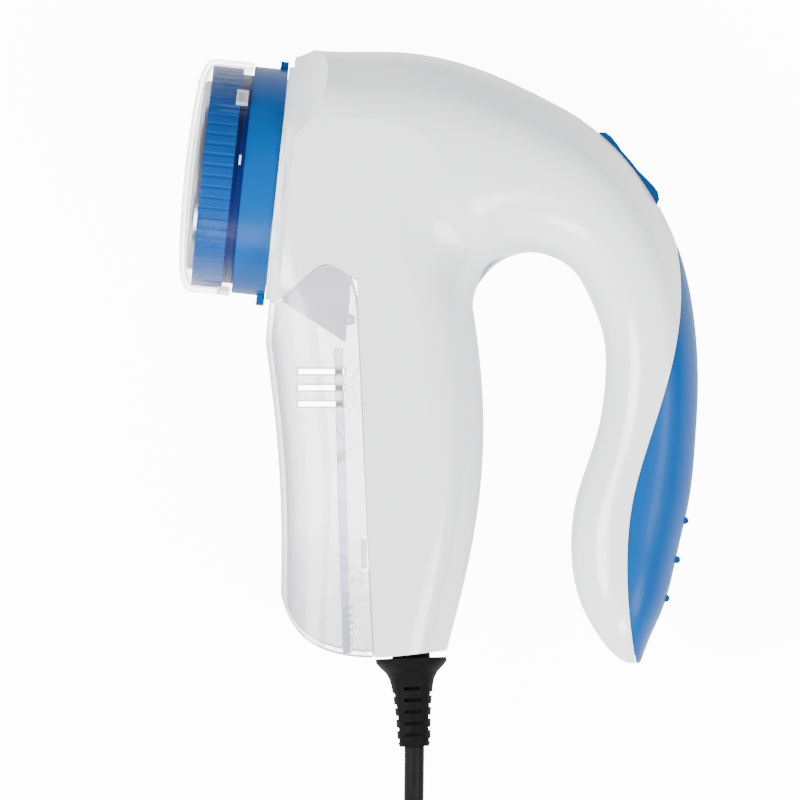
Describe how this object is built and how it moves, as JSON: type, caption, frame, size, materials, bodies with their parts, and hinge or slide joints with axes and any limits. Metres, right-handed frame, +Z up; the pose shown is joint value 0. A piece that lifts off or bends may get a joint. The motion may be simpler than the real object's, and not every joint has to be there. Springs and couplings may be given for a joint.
{
  "type": "fabric shaver",
  "caption": "Corded fabric shaver with a round foil head under a clear cap, a clear lint bin in its column and a looped handle with a soft cover.",
  "frame": {"origin": "middle of the footprint on the surface that the shaver lies on, measured without the free cord", "axes": "the shaver lies on its side: -X is the way the foil head points, +Y runs up the column towards the head's top, +Z is up, out of the upper side; the mid-plane is parallel to XY"},
  "size_m": [0.1364, 0.3319, 0.063],
  "materials": {
    "shell": "glossy",
    "grip": "glossy",
    "switch": "glossy",
    "collar": "glossy",
    "band": "glossy",
    "ring": "glossy",
    "clear": "clear",
    "clear_bin": "clear",
    "chute": "satin",
    "steel": "brushed",
    "magnet": "matte",
    "brass": "satin",
    "copper": "satin",
    "black_plastic": "matte",
    "board": "satin",
    "wire": "satin",
    "relief": "matte",
    "cord": "matte",
    "plug": "matte",
    "pins": "polished"
  },
  "bodies": {
    "body": {"left_shell": "shell", "right_shell": "shell", "grip_cover": "grip", "lint_chute": "chute", "motor_can": "steel", "motor_end_cap": "black_plastic", "motor_bushes": "brass", "motor_magnets": "magnet", "motor_brushes": "brass", "motor_screws": "steel", "switch_body": "black_plastic", "circuit_board": "board", "board_screws": "steel", "board_components": "black_plastic", "lead_wires": "wire", "cord_clamp": "black_plastic", "clamp_screws": "steel", "case_screws": "steel", "strain_relief": "relief", "cord_inside": "cord", "power_cord": "cord", "cord_tail": "cord", "cord_coil": "cord", "cord_tie": "cord", "plug_body": "plug", "plug_pins": "pins"},
    "rotor": {"motor_shaft": "steel", "armature": "magnet", "windings": "copper", "commutator": "brass", "fan": "chute", "blade_hub": "chute", "drive_pin": "steel", "blades": "steel"},
    "collar": {"adjusting_collar": "collar"},
    "carrier": {"foil_carrier": "band"},
    "guard": {"foil_ring": "ring", "foil": "steel", "foil_frame": "steel"},
    "cap": {"clear_cap": "clear"},
    "bin": {"lint_bin": "clear_bin"},
    "switch": {"switch_button": "switch", "switch_lever": "switch"}
  },
  "joints": [
    {"name": "rotor_spin", "type": "hinge", "parent": "body", "child": "rotor", "pos_m": [-0.04205, 0.05606, 0.0315], "axis": [-0.9945, 0.1045, 0], "continuous": true},
    {"name": "collar_turn", "type": "hinge", "parent": "body", "child": "collar", "pos_m": [-0.04205, 0.05606, 0.0315], "axis": [-0.9945, 0.1045, 0], "range_deg": [0, 60]},
    {"name": "carrier_lift", "type": "slide", "parent": "body", "child": "carrier", "axis": [-0.9945, 0.1045, 0], "range_m": [0, 0.0015]},
    {"name": "guard_turn", "type": "hinge", "parent": "carrier", "child": "guard", "pos_m": [-0.04205, 0.05606, 0.0315], "axis": [-0.9945, 0.1045, 0], "range_deg": [0, 30]},
    {"name": "cap_pull", "type": "slide", "parent": "guard", "child": "cap", "axis": [-0.9945, 0.1045, 0], "range_m": [0, 0.03]},
    {"name": "bin_slide", "type": "slide", "parent": "body", "child": "bin", "axis": [0, -1, 0], "range_m": [0, 0.11]},
    {"name": "switch_slide", "type": "hinge", "parent": "body", "child": "switch", "pos_m": [0.01255, 0.03106, 0.0315], "axis": [0, 0, 1], "range_deg": [0, 6]}
  ],
  "couplings": [
    {"joint": "carrier_lift", "follows": "collar_turn", "m_per_rad": 0.001431}
  ]
}
